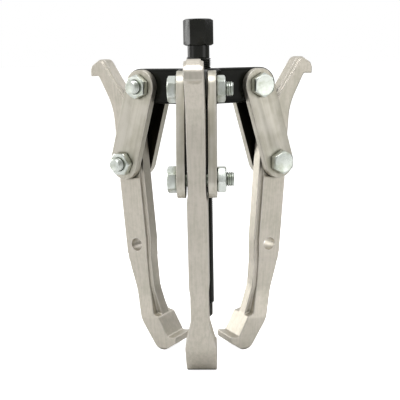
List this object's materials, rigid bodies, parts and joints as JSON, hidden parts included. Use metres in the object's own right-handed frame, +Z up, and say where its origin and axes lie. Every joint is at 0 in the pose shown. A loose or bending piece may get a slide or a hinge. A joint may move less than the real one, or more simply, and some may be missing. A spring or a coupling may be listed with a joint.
{
  "type": "gear puller",
  "caption": "Reversible three-jaw gear puller: a forcing screw through a spider yoke, with hooked jaws hung on bolted link plates.",
  "frame": {"origin": "centre of the flat end face of the forcing screw's point, on the pulling axis", "axes": "+Z up the forcing screw towards its hexagon head; one arm points along -Y, the others at 120 degrees to it"},
  "size_m": [0.175, 0.152, 0.2558],
  "materials": {
    "blackened_steel": "black oxide, satin",
    "plated_plate": "zinc plated, brushed",
    "plated_forging": "zinc plated over a forged surface",
    "plated_fastener": "bright zinc plated"
  },
  "bodies": {
    "yoke": {"yoke": "blackened_steel"},
    "point": {"screw_point": "blackened_steel"},
    "screw": {"forcing_screw": "blackened_steel"},
    "links_front": {"link_head_side_front": "plated_plate", "link_nut_side_front": "plated_plate", "bolt_upper_front": "plated_fastener", "nut_upper_front": "plated_fastener", "bolt_lower_front": "plated_fastener", "nut_lower_front": "plated_fastener"},
    "jaw_front": {"jaw_front": "plated_forging"},
    "links_right": {"link_head_side_right": "plated_plate", "link_nut_side_right": "plated_plate", "bolt_upper_right": "plated_fastener", "nut_upper_right": "plated_fastener", "bolt_lower_right": "plated_fastener", "nut_lower_right": "plated_fastener"},
    "jaw_right": {"jaw_right": "plated_forging"},
    "links_left": {"link_head_side_left": "plated_plate", "link_nut_side_left": "plated_plate", "bolt_upper_left": "plated_fastener", "nut_upper_left": "plated_fastener", "bolt_lower_left": "plated_fastener", "nut_lower_left": "plated_fastener"},
    "jaw_left": {"jaw_left": "plated_forging"}
  },
  "joints": [
    {"name": "link_swing_front", "type": "hinge", "parent": "yoke", "child": "links_front", "pos_m": [0, -0.045, 0.178], "axis": [-1, 0, 0], "range_deg": [0, 75]},
    {"name": "jaw_swing_front", "type": "hinge", "parent": "links_front", "child": "jaw_front", "pos_m": [0, -0.06245, 0.11871], "axis": [-1, 0, 0], "range_deg": [-3, 2.8]},
    {"name": "link_swing_right", "type": "hinge", "parent": "yoke", "child": "links_right", "pos_m": [0.03897, 0.0225, 0.178], "axis": [0.5, -0.866, 0], "range_deg": [0, 75]},
    {"name": "jaw_swing_right", "type": "hinge", "parent": "links_right", "child": "jaw_right", "pos_m": [0.05408, 0.03122, 0.11871], "axis": [0.5, -0.866, 0], "range_deg": [-3, 2.8]},
    {"name": "link_swing_left", "type": "hinge", "parent": "yoke", "child": "links_left", "pos_m": [-0.03897, 0.0225, 0.178], "axis": [0.5, 0.866, 0], "range_deg": [0, 75]},
    {"name": "jaw_swing_left", "type": "hinge", "parent": "links_left", "child": "jaw_left", "pos_m": [-0.05408, 0.03122, 0.11871], "axis": [0.5, 0.866, 0], "range_deg": [-3, 2.8]},
    {"name": "screw_advance", "type": "slide", "parent": "yoke", "child": "point", "axis": [0, 0, 1], "range_m": [-0.0075, 0.15]},
    {"name": "screw_turn", "type": "hinge", "parent": "point", "child": "screw", "pos_m": [0, 0, 0], "axis": [0, 0, 1], "range_deg": [-1800, 36000]}
  ],
  "couplings": [
    {"joint": "screw_turn", "follows": "screw_advance", "rad_per_m": 4188.8}
  ]
}
